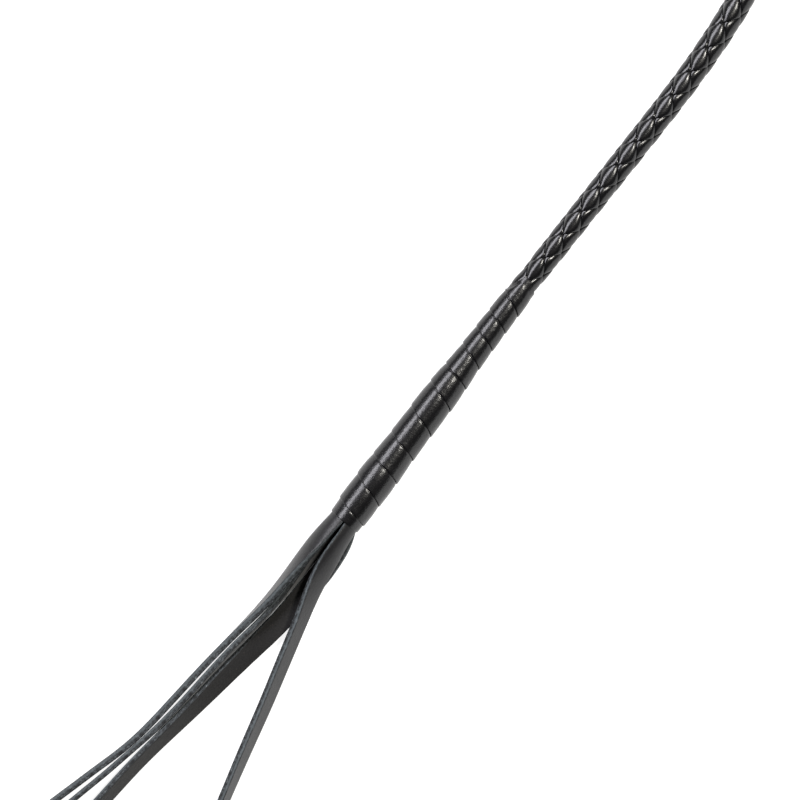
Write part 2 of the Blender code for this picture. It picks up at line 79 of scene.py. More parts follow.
_h = np.radians([-9.0 + table(HEADING, max(0.0, s)) for s in S_GRID])
_i0 = int(np.argmin(np.abs(S_GRID)))
_x = np.concatenate([[0], np.cumsum(0.25 * (np.cos(_h[1:]) + np.cos(_h[:-1])))])
_y = np.concatenate([[0], np.cumsum(0.25 * (np.sin(_h[1:]) + np.sin(_h[:-1])))])
_x -= _x[_i0]
_y -= _y[_i0]


def low(x, y, z):
    return (x * math.cos(TILT) - y * math.sin(TILT) - ORIGIN_X,
            x * math.sin(TILT) + y * math.cos(TILT) - ORIGIN_Y, z)


_bx, _by, _ = low(0, 0.2, 0)


def shaft(s, r=0.0, ang=0.0):
    hx = float(np.interp(s, S_GRID, _h))
    cx = float(np.interp(s, S_GRID, _x)) + _bx
    cy = float(np.interp(s, S_GRID, _y)) + _by
    cz = AXIS_Z + AXIS_RISE * s
    q = r * math.cos(ang)
    return (cx - q * math.sin(hx), cy + q * math.cos(hx), cz + r * math.sin(ang))


def rnd(*key):
    """Smooth repeatable noise, about -1..1."""
    return noise.noise(Vector(key))


# ------------------------------------------------------------ materials
def new_mat(name, base, rough, metal=0.0):
    m = bpy.data.materials.new(name)
    m.use_nodes = True
    b = m.node_tree.nodes["Principled BSDF"]
    b.inputs["Base Color"].default_value = (*base, 1)
    b.inputs["Roughness"].default_value = rough
    b.inputs["Metallic"].default_value = metal
    return m, m.node_tree, b


def node(t, kind, **kw):
    n = t.nodes.new(kind)
    for k, v in kw.items():
        if k in n.inputs:
            n.inputs[k].default_value = v
        else:
            setattr(n, k, v)
    return n


def ramp_node(t, stops):
    n = t.nodes.new("ShaderNodeValToRGB")
    e = n.color_ramp.elements
    while len(e) > 1:
        e.remove(e[-1])
    e[0].position, e[0].color = stops[0][0], (*stops[0][1], 1)
    for p, c in stops[1:]:
        k = e.new(p)
        k.color = (*c, 1)
    return n


def leather(name, dark, light, rough=(0.3, 0.45), grain=1400.0, grain_depth=0.12,
            pores=4200.0, pore_depth=0.06, wear=None, coat=0.0, spec=0.5, uv=False,
            stretch=None, edge_rough=None):
    """Black finished leather: cell grain, fine pores, soft colour drift, and
    lighter rubbed high spots along edges if wear is a colour."""
    m, t, b = new_mat(name, dark, rough[0])
    L = t.links.new
    tc = node(t, "ShaderNodeTexCoord")
    src = tc.outputs["UV" if uv else "Object"]
    if stretch:
        mp = node(t, "ShaderNodeMapping")
        mp.inputs["Scale"].default_value = stretch
        L(src, mp.inputs["Vector"])
        src = mp.outputs["Vector"]
    drift = node(t, "ShaderNodeTexNoise", Scale=90.0, Detail=4.0, Roughness=0.6)
    L(src, drift.inputs["Vector"])
    cell = node(t, "ShaderNodeTexVoronoi", Scale=grain)
    cell.feature = "SMOOTH_F1"
    cell.inputs["Smoothness"].default_value = 0.6
    L(src, cell.inputs["Vector"])
    fine = node(t, "ShaderNodeTexNoise", Scale=pores, Detail=3.0, Roughness=0.65)
    L(src, fine.inputs["Vector"])
    col = ramp_node(t, [(0.3, dark), (0.72, light)])
    L(drift.outputs["Fac"], col.inputs["Fac"])
    out = col.outputs["Color"]
    if wear:
        geo = node(t, "ShaderNodeNewGeometry")
        wr = ramp_node(t, [(0.505, (0, 0, 0)), (0.58, (1, 1, 1))])
        L(geo.outputs["Pointiness"], wr.inputs["Fac"])
        mul = node(t, "ShaderNodeMath", operation="MULTIPLY")
        L(wr.outputs["Color"], mul.inputs[0])
        L(fine.outputs["Fac"], mul.inputs[1])
        mix = node(t, "ShaderNodeMix", data_type="RGBA")
        L(mul.outputs[0], mix.inputs["Factor"])
        L(out, mix.inputs["A"])
        mix.inputs["B"].default_value = (*wear, 1)
        out = mix.outputs["Result"]
    L(out, b.inputs["Base Color"])
    rr = node(t, "ShaderNodeMapRange")
    rr.inputs["To Min"].default_value = rough[0]
    rr.inputs["To Max"].default_value = rough[1]
    L(fine.outputs["Fac"], rr.inputs["Value"])
    if edge_rough:
        at = node(t, "ShaderNodeAttribute", attribute_name="lace_edge")
        mixr = node(t, "ShaderNodeMix", data_type="FLOAT")
        L(at.outputs["Fac"], mixr.inputs[0])
        L(rr.outputs["Result"], mixr.inputs[2])
        mixr.inputs[3].default_value = edge_rough
        L(mixr.outputs[0], b.inputs["Roughness"])
    else:
        L(rr.outputs["Result"], b.inputs["Roughness"])
    b.inputs["Specular IOR Level"].default_value = spec
    b.inputs["Coat Weight"].default_value = coat
    b.inputs["Coat Roughness"].default_value = 0.25
    b1 = node(t, "ShaderNodeBump", Strength=grain_depth, Distance=0.0002)
    L(cell.outputs["Distance"], b1.inputs["Height"])
    b2 = node(t, "ShaderNodeBump", Strength=pore_depth, Distance=0.0002)
    L(fine.outputs["Fac"], b2.inputs["Height"])
    L(b1.outputs["Normal"], b2.inputs["Normal"])
    L(b2.outputs["Normal"], b.inputs["Normal"])
    return m


def cut_edge(name):
    """The raw cut edge of strap leather: dyed fibres, and a lighter bluish band toward the grain side,
    partly the compressed grain layer and partly a painted highlight along the arris.  UV v runs 0 (flesh side) to 1
    (grain side) over the edge."""
    m, t, b = new_mat(name, (0.06, 0.065, 0.07), 0.75)
    L = t.links.new
    uv = node(t, "ShaderNodeTexCoord")
    mp = node(t, "ShaderNodeMapping")
    mp.inputs["Scale"].default_value = (700.0, 2600.0, 1.0)
    L(uv.outputs["UV"], mp.inputs["Vector"])
    fib = node(t, "ShaderNodeTexNoise", Scale=1.0, Detail=5.0, Roughness=0.7, Distortion=0.6)
    L(mp.outputs["Vector"], fib.inputs["Vector"])
    blot = node(t, "ShaderNodeTexNoise", Scale=650.0, Detail=3.0, Roughness=0.6)
    L(uv.outputs["UV"], blot.inputs["Vector"])
    mul = node(t, "ShaderNodeMath", operation="MULTIPLY")
    L(fib.outputs["Fac"], mul.inputs[0])
    L(blot.outputs["Fac"], mul.inputs[1])
    col = ramp_node(t, [(0.16, (0.007, 0.0075, 0.008)), (0.25, (0.024, 0.027, 0.029)),
                        (0.36, (0.085, 0.096, 0.102)), (0.52, (0.25, 0.265, 0.265))])
    L(mul.outputs[0], col.inputs["Fac"])
    # painted highlight: a lighter bluish band across the cut edge near the grain side, partly the compressed grain
    # layer
    at = node(t, "ShaderNodeAttribute", attribute_name="grain_side")
    line = ramp_node(t, [(0.5, (0, 0, 0)), (0.74, (1, 1, 1)), (0.93, (1, 1, 1)), (1.0, (0.1, 0.1, 0.1))])
    L(at.outputs["Fac"], line.inputs["Fac"])
    fac = node(t, "ShaderNodeMath", operation="MULTIPLY")
    L(line.outputs["Color"], fac.inputs[0])
    fac.inputs[1].default_value = 0.55
    mix = node(t, "ShaderNodeMix", data_type="RGBA")
    L(fac.outputs[0], mix.inputs["Factor"])
    L(col.outputs["Color"], mix.inputs["A"])
    # the bluish colour of the painted highlight band
    mix.inputs["B"].default_value = (0.105, 0.122, 0.13, 1)
    L(mix.outputs["Result"], b.inputs["Base Color"])
    b.inputs["Specular IOR Level"].default_value = 0.3
    bp = node(t, "ShaderNodeBump", Strength=0.6, Distance=0.00025)
    L(fib.outputs["Fac"], bp.inputs["Height"])
    L(bp.outputs["Normal"], b.inputs["Normal"])
    return m


def flesh(name):
    """The flesh side of the strap: dyed nap, dull, with brownish flecks."""
    m, t, b = new_mat(name, (0.03, 0.028, 0.027), 0.8)
    L = t.links.new
    uv = node(t, "ShaderNodeTexCoord")
    nap = node(t, "ShaderNodeTexNoise", Scale=1500.0, Detail=5.0, Roughness=0.75)
    L(uv.outputs["UV"], nap.inputs["Vector"])
    spots = node(t, "ShaderNodeTexVoronoi", Scale=330.0)
    L(uv.outputs["UV"], spots.inputs["Vector"])
    col = ramp_node(t, [(0.35, (0.008, 0.0079, 0.008)), (0.62, (0.022, 0.0213, 0.0208))])
    L(nap.outputs["Fac"], col.inputs["Fac"])
    sp = ramp_node(t, [(0.0, (1, 1, 1)), (0.12, (0, 0, 0))])
    L(spots.outputs["Distance"], sp.inputs["Fac"])
    mul = node(t, "ShaderNodeMath", operation="MULTIPLY")
    L(sp.outputs["Color"], mul.inputs[0])
    mul.inputs[1].default_value = 0.6
    mix = node(t, "ShaderNodeMix", data_type="RGBA")
    L(mul.outputs[0], mix.inputs["Factor"])
    L(col.outputs["Color"], mix.inputs["A"])
    mix.inputs["B"].default_value = (0.075, 0.058, 0.05, 1)
    L(mix.outputs["Result"], b.inputs["Base Color"])
    b.inputs["Specular IOR Level"].default_value = 0.25
    b.inputs["Sheen Weight"].default_value = 0.15
    bp = node(t, "ShaderNodeBump", Strength=0.35, Distance=0.0002)
    L(nap.outputs["Fac"], bp.inputs["Height"])
    L(bp.outputs["Normal"], b.inputs["Normal"])
    return m


def simple(name, base, rough, metal=0.0, scale=2500.0, bump=0.05, var=0.25, stretch=(1, 1, 1)):
    m, t, b = new_mat(name, base, rough, metal)
    L = t.links.new
    tc = node(t, "ShaderNodeTexCoord")
    mp = node(t, "ShaderNodeMapping")
    mp.inputs["Scale"].default_value = stretch
    L(tc.outputs["Object"], mp.inputs["Vector"])
    n = node(t, "ShaderNodeTexNoise", Scale=scale, Detail=4.0, Roughness=0.6)
    L(mp.outputs["Vector"], n.inputs["Vector"])
    col = ramp_node(t, [(0.3, tuple(c * (1 - var) for c in base)),
                        (0.7, tuple(min(1, c * (1 + var)) for c in base))])
    L(n.outputs["Fac"], col.inputs["Fac"])
    L(col.outputs["Color"], b.inputs["Base Color"])
    rr = node(t, "ShaderNodeMapRange")
    rr.inputs["To Min"].default_value = max(0.05, rough - 0.08)
    rr.inputs["To Max"].default_value = rough + 0.08
    L(n.outputs["Fac"], rr.inputs["Value"])
    L(rr.outputs["Result"], b.inputs["Roughness"])
    bp = node(t, "ShaderNodeBump", Strength=bump, Distance=0.0002)
    L(n.outputs["Fac"], bp.inputs["Height"])
    L(bp.outputs["Normal"], b.inputs["Normal"])
    return m


M_BRAID = leather("braid_lace", (0.0022, 0.0022, 0.0026), (0.0045, 0.0043, 0.005),
                  rough=(0.20, 0.32), grain=1000, grain_depth=0.08, pores=1500, pore_depth=0.14, spec=0.5)
# the laces' matte cut sides, with specular nearly off so the grooves between laces read dark: partly the real cut
# edge, partly painted groove shade
M_LACE_EDGE_GROOVE_SHADE = simple("lace_cut_edge", (0.0035, 0.0035, 0.0038), 0.85, scale=2500.0, bump=0.3, var=0.3)
M_LACE_EDGE_GROOVE_SHADE.node_tree.nodes["Principled BSDF"].inputs["Specular IOR Level"].default_value = 0.03
M_WRAP = leather("wrap_strip", (0.0026, 0.0026, 0.003), (0.0055, 0.0053, 0.006),
                 rough=(0.22, 0.34), grain=900, grain_depth=0.16, pores=1350, pore_depth=0.27, spec=0.5)
M_FACE = leather("tail_face", (0.006, 0.006, 0.0065), (0.011, 0.011, 0.012),
                 rough=(0.36, 0.48), grain=1300, grain_depth=0.22, pores=1800, pore_depth=0.22, spec=0.40, uv=True)
M_EDGE = cut_edge("tail_cut_edge")
M_FLESH = flesh("tail_flesh_side")
M_GRIP = leather("grip_strip", (0.004, 0.004, 0.0045), (0.009, 0.0088, 0.0095),
                 rough=(0.28, 0.42), grain=1100, grain_depth=0.16, pores=4200, pore_depth=0.08)
M_LOOP = leather("loop_strap", (0.006, 0.006, 0.0065), (0.012, 0.0118, 0.0125),
                 rough=(0.36, 0.5), grain=1300, grain_depth=0.12, pores=4200, pore_depth=0.07, uv=True)
M_BOLSTER = leather("split_leather", (0.09, 0.065, 0.045), (0.15, 0.11, 0.08),
                    rough=(0.7, 0.85), grain=900, grain_depth=0.2, pores=3000, pore_depth=0.2)
M_THREAD = simple("waxed_thread", (0.03, 0.03, 0.032), 0.6, scale=1.0, bump=0.4, var=0.3,
                  stretch=(900, 5200, 5200))
M_STEEL = simple("spring_steel", (0.42, 0.42, 0.43), 0.32, 1.0, scale=1.0, bump=0.03,
                 var=0.08, stretch=(60, 4000, 4000))
M_CAP = simple("turned_cap", (0.018, 0.018, 0.019), 0.32, scale=1.0, bump=0.03, var=0.2,
               stretch=(5000, 300, 300))
M_BRASS = simple("brass", (0.66, 0.47, 0.19), 0.26, 1.0, scale=900.0, bump=0.02, var=0.12)
M_STITCH = simple("stitch_thread", (0.05, 0.05, 0.052), 0.55, scale=5000.0, bump=0.3, var=0.3)


# ------------------------------------------------------------ mesh builder
def loft(name, rings, mats, ring_mat=None, cap=True, uvs=None, attr=None, body="crop", smooth_angle=55):
    """Joins rings of equal length into one closed skin.  rings are lists of
    points in mm; ring_mat gives the material index of each ring segment."""
    n, m = len(rings), len(rings[0])
    verts = [tuple(c * MM for c in p) for ring in rings for p in ring]
    faces, mi = [], []
    for i in range(n - 1):
        for j in range(m):
            k = (j + 1) % m
            faces.append((i * m + j, i * m + k, (i + 1) * m + k, (i + 1) * m + j))
            mi.append(ring_mat[j] if ring_mat else 0)
    if cap:
        faces.append(tuple(range(m)))
        faces.append(tuple((n - 1) * m + j for j in reversed(range(m))))
        mi += [ring_mat[0] if ring_mat else 0] * 2
        if ring_mat and len(mats) > 1:
            mi[-1] = mi[-2] = 1
    me = bpy.data.meshes.new(name)
    me.from_pydata(verts, [], faces)
    for mt in mats:
        me.materials.append(mt)
    me.polygons.foreach_set("material_index", mi)
    if uvs:
        lay = me.uv_layers.new(name="UVMap")
        data = np.zeros((len(me.loops), 2), np.float32)
        q = 0
        for i in range(n - 1):
            for j in range(m):
                k = (j + 1) % m
                for (a, bq) in ((i, j), (i, k), (i + 1, k), (i + 1, j)):
                    u = uvs[a][bq]
                    if bq == 0 and j == m - 1:
                        u = (u[0], uvs[a][m - 1][1] + (uvs[a][m - 1][1] - uvs[a][m - 2][1]))
                    data[q] = u
                    q += 1
        lay.data.foreach_set("uv", data.ravel())
    if attr:
        at = me.attributes.new(attr[0], "FLOAT", "POINT")
        at.data.foreach_set("value", np.array([v for ring in attr[1] for v in ring], np.float32))
    bm = bmesh.new()
    bm.from_mesh(me)
    bmesh.ops.recalc_face_normals(bm, faces=bm.faces)
    bm.to_mesh(me)
    bm.free()
    me.shade_smooth()
    me.set_sharp_from_angle(angle=math.radians(smooth_angle))
    o = bpy.data.objects.new(name, me)
    bpy.context.scene.collection.objects.link(o)
    if body:
        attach(o, body)
    return o


def revolve(name, profile, mat, seg=72, closed=False, body="crop", angle=40, wobble=None):
    """A ring carried along the shaft line; profile is (s, radius)."""
    rings = []
    for s, r in profile:
        ring = []
        for j in range(seg):
            a = 2 * math.pi * j / seg
            rr = r + (wobble(s, a) if wobble else 0)
            ring.append(shaft(s, rr, a))
        rings.append(ring)
    n = len(rings)
    if closed:                                   # profile is a closed ring
        verts = [tuple(c * MM for c in p) for ring in rings for p in ring]
        faces = []
        for i in range(n):
            i2 = (i + 1) % n
            for j in range(seg):
                k = (j + 1) % seg
                faces.append((i * seg + j, i * seg + k, i2 * seg + k, i2 * seg + j))
        me = bpy.data.meshes.new(name)
        me.from_pydata(verts, [], faces)
        me.materials.append(mat)
        bm = bmesh.new()
        bm.from_mesh(me)
        bmesh.ops.recalc_face_normals(bm, faces=bm.faces)
        bm.to_mesh(me)
        bm.free()
        me.shade_smooth()
        me.set_sharp_from_angle(angle=math.radians(angle))
        o = bpy.data.objects.new(name, me)
        bpy.context.scene.collection.objects.link(o)
        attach(o, body)
        return o
    return loft(name, rings, [mat], body=body, smooth_angle=angle)


# ------------------------------------------------------------ the plait
BRAID_LAY = 35.4
BRAID_SHIFT = 1.6
ARMS = 3
HALF = BRAID_LAY / (2 * ARMS)
BRAID_START, BRAID_END = 90.0, 341.0
BRAID_R = [(85, 4.3), (100, 4.35), (112, 4.38), (121, 4.5), (130, 4.84), (180, 5.0),
           (222, 5.08), (262, 5.28), (345, 5.6)]
BRAID_PHASE = math.radians(19.0)
AMP = 0.60
HALF_W = 0.545


def strand(idx):
    way = 1 if idx < ARMS else -1
    i = idx % ARMS
    cols = 14
    per = 14
    b0 = (BRAID_START - BRAID_SHIFT) / HALF - i + 0.3
    b1 = (BRAID_END - BRAID_SHIFT) / HALF - i - 0.3
    n = int((b1 - b0) * per)
    rings = []
    for q in range(n + 1):
        b = b0 + (b1 - b0) * q / n
        top, bot = [], []
        for c in range(cols + 1):
            u = -1 + 2 * c / cols
            # crowd the columns toward the two edges
            u = math.sin(u * math.pi / 2 * 0.97) / math.sin(math.pi / 2 * 0.97)
            a = i + u * (HALF_W if way > 0 else HALF_W + 0.035)
            # over cells: i + cell even for way +1, odd for way -1
            ph = b - (0 if way > 0 else 1)
            over = math.cos(math.pi * (ph + i))      # +1 at an over cell
            soft = math.tanh(1.9 * over) / math.tanh(1.9)
            s = (a + b) * HALF + BRAID_SHIFT
            R = table(BRAID_R, s) + 0.22
            swell = 0.05 * rnd(b * 0.9, idx * 7.3, 2.0)
            crown = 0.22 * u * u + 0.55 * abs(u) ** 14
            r = R - AMP + AMP * soft - crown + swell + (0.07 if way < 0 else 0.0)
            turn = (a - b) * math.pi / ARMS
            ang = way * turn + BRAID_PHASE
            r += 0.62 * math.exp(-((s - 116.2) / 4.2) ** 2) * max(0.0, math.cos(way * (a - b) * math.pi / ARMS + BRAID_PHASE - 0.25))
            thick = 0.95 - 0.40 * u * u
            top.append(shaft(s, r, ang))
            bot.append(shaft(s, r - thick, ang))
        rings.append(top + bot[::-1])
    m = 2 * (cols + 1)
    # the sides and underside of each lace take the cut-edge material that paints the groove shade
    side = [0 if 2 <= j < cols - 2 else 1 for j in range(m)]
    o = loft("lace_%d" % (idx + 1), rings, [M_BRAID, M_LACE_EDGE_GROOVE_SHADE], ring_mat=side, smooth_angle=70)
    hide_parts("braid_strand_%d" % (idx + 1))


for idx in range(2 * ARMS):
    strand(idx)

# ------------------------------------------------------------ the wrap
WRAP_R = [(-2, 7.35), (0, 7.45), (6, 7.76), (14, 7.8), (22, 8.05), (30, 7.6),
          (42, 7.3), (54, 7.38), (62, 7.36), (66, 7.16), (70, 7.0), (74, 6.65),
          (78, 6.35), (86, 6.1), (94, 5.95), (102, 5.8), (110, 5.75), (122, 5.7)]
WRAP_BUILD = 1.0
_wx, _wy = smooth(WRAP_R, 2.0, -2, 122)
# lower edge of the strip: (turn, s); turn 0 is the first full one on top, and
# the pairs are where its edge meets the left and the right side
EDGE = [(-1.22, 120.7), (-0.78, 117.0), (-0.22, 111.9), (0.22, 106.6), (0.78, 101.7),
        (1.22, 98.3), (1.78, 93.2), (2.22, 89.6), (2.78, 84.7), (3.22, 80.5),
        (3.78, 74.1), (4.22, 71.0), (4.78, 65.0), (5.22, 60.2), (5.78, 52.2),
        (6.22, 47.6), (6.78, 39.1), (7.22, 35.6), (7.78, 27.7), (8.22, 24.2),
        (8.78, 17.6), (9.22, 12.7), (9.78, 5.7), (10.22, 2.4), (10.5, 0.6),
        (10.78, -0.7), (11.22, -1.4), (12.4, -1.4)]
_ex, _ey = smooth(EDGE, 0.09, -1.2, 12.0, per=100)


def wrap_edge(k):
    return float(np.interp(k, _ex, _ey))


UPPER = [(-0.27, 111.6), (-0.18, 114.0), (-0.055, 120.8), (0.0, 120.4), (0.22, 117.4), (0.5, 115.0),
         (0.78, 113.8), (1.0, 109.8 + 2.0), (1.22, 106.6 + 2.4)]


def wrap_upper(k):
    full = wrap_edge(k - 1) + 2.5
    if k < 1.22:
        return table(UPPER, k)
    return full


def wrap_base(s):
    return float(np.interp(s, _wx, _wy)) - WRAP_BUILD


def build_wrap():
    t, g = 0.40, 0.03
    k0, k1, per = -0.26, 11.35, 60
    n = int((k1 - k0) * per)
    outer = [0.0, 0.1, 0.3, 0.7, 1.3, 2.0, 2.9, 3.8]          # mm above the lower edge
    rings = []
    for q in range(n + 1):
        k = k0 + (k1 - k0) * q / n
        a, b = wrap_edge(k), wrap_upper(k)
        a += 0.10 * rnd(k * 3.1, 0.3, 0.7)
        b = max(b, a + 0.5)
        ang = math.pi / 2 + 2 * math.pi * k
        w = b - a
        vis = max(0.4 * w, w - 2.5)
        f0 = min(1.0, vis / 6.0)
        ws = [x * f0 for x in outer]
        ws += [(ws[-1] + vis - 1.3 * f0) / 2, vis - 1.3 * f0, vis - 0.8 * f0, vis - 0.45 * f0,
               vis - 0.15 * f0, vis + 0.3 * f0, w]
        last = ramp(k, 10.3, 10.55)
        out_pts, in_pts = [], []
        for j, x in enumerate(ws):
            s = a + x
            lap = max(0.0, 1 - (x / vis) ** 4.0) * (1 - last)
            base = wrap_base(s)
            inner = base + lap * (t + g)
            body = inner + t
            # rounded lip, and a slight swell where the strip rides up
            if x < 0.3:
                body -= 0.16 * (1 - (x / 0.3)) ** 2
            body += 0.04 * math.exp(-((x - 1.0) / 0.9) ** 2)
            if k > 0.8:
                body -= 0.20 * math.exp(-((x - vis) / 0.42) ** 2)
                inner -= 0.20 * math.exp(-((x - vis) / 0.42) ** 2)
            body += 0.035 * rnd(k * 2.3, s * 0.35, 1.7) + 0.02 * rnd(k * 9.0, s * 0.9, 4.0)
            if j == len(ws) - 1:
                body -= 0.2 if k > 0.5 else 0.06
            out_pts.append(shaft(s, body, ang))
            in_pts.append(shaft(s, inner, ang))
        rings.append(out_pts + in_pts[::-1])
    o = loft("wound_strip", rings, [M_WRAP], smooth_angle=50)
    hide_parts("tail_wrap")
    return o


build_wrap()

# ------------------------------------------------------------ the tails
TAIL_W = 8.8
TAIL_T = {1: 2.75, 2: 2.5, 3: 2.3, 4: 2.3}
QUAD = {1: 45.0, 2: 135.0, 3: 229.0, 4: 318.0}
TAILS = {
    1: [(-1.6, 3.75, 11.8, 45, 1.0), (-10, 4.6, 12.2, 40, 0.7),
        (-20, 5.05, 11.6, 27, 0.4), (-30, 5.0, 9.6, 17, 0.2),
        (-40, 4.95, 7.4, 11, 0.0), (-50, 5.65, 6.0, 7, 0), (-57, 6.6, 5.4, 3, 0), (-65, 7.6, 4.9, 0, 0),
        (-80, 9.45, 4.6, 0, 0), (-100, 11.25, 4.6, 0, 0), (-110, 12.1, 4.6, 0, 0), (-120, 13.35, 4.6, 0, 0),
        (-130, 15.5, 4.6, 0, 0), (-140, 18.6, 4.6, 0, 0), (-150, 21.3, 4.6, 0, 0),
        (-160, 24.2, 4.6, 0, 0), (-185, 31.0, 4.6, 0, 0), (-212, 37.5, 4.6, 0, 0)],
    2: [(-1.6, -3.4, 11.7, 135, 1.0), (-10, -4.0, 12.0, 135, 0.7),
        (-20, -4.85, 11.2, 130, 0.4), (-30, -6.45, 9.9, 141, 0.2),
        (-40, -9.3, 8.1, 149, 0.0), (-50, -11.95, 6.3, 151, 0),
        (-60, -14.5, 5.3, 151, 0), (-70, -17.25, 4.95, 152.5, 0),
        (-80, -19.85, 4.8, 154, 0), (-100, -24.65, 4.75, 157, 0),
        (-117, -29.0, 4.65, 161, 0), (-150, -37.4, 4.6, 165, 0),
        (-185, -46.0, 4.55, 170, 0), (-212, -51.5, 4.5, 172, 0)],
    3: [(-1.6, -3.15, 4.2, 229, 1.0), (-5, -5.0, 4.3, 230, 0.75), (-10, -5.1, 3.8, 236, 0.7),
        (-20, -5.25, 2.75, 252, 0.45), (-30, -4.85, 2.2, 266, 0.2),
        (-40, -4.45, 2.0, 276, 0), (-50, -3.8, 2.45, 283, 0),
        (-60, -2.35, 3.2, 296, 0), (-70, -0.85, 3.75, 305, 0),
        (-80, 0.5, 4.0, 310, 0), (-90, 1.7, 4.25, 317, 0),
        (-100, 3.0, 4.45, 323, 0), (-110, 4.5, 4.55, 327, 0),
        (-120, 6.05, 4.6, 329, 0), (-130, 7.35, 4.65, 330, 0),
        (-140, 8.2, 4.65, 330, 0), (-160, 9.8, 4.65, 331, 0),
        (-185, 11.0, 4.65, 332, 0), (-212, 12.0, 4.65, 332, 0)],
    4: [(-1.6, 3.9, 4.6, 318, 1.0), (-10, 2.8, 4.15, 323, 0.5),
        (-15, 2.45, 4.38, 333, 0.3), (-20, 1.6, 4.6, 344, 0.1), (-30, 1.5, 4.6, 349, 0.0),
        (-40, 1.45, 4.6, 357, 0), (-50, 2.25, 4.6, 355, 0), (-57, 3.0, 4.6, 354, 0),
        (-65, 4.35, 4.6, 352, 0), (-80, 5.8, 4.6, 352, 0),
        (-100, 7.5, 4.6, 354, 0), (-110, 8.9, 4.6, 356, 0),
        (-120, 10.7, 4.6, 358, 0), (-130, 12.75, 4.6, 358, 0),
        (-140, 14.7, 4.6, 358, 0), (-150, 17.2, 4.6, 358, 0),
        (-185, 25.0, 4.6, 358, 0), (-212, 30.0, 4.6, 358, 0)],
}
TAIL_X0, TAIL_X1 = -1.6, -212.0


def root_outer(s):
    inside = ramp(s, 57, 59.5) * (1 - ramp(s, 67, 69.5))
    return wrap_base(s) - 0.20 - 1.0 * inside


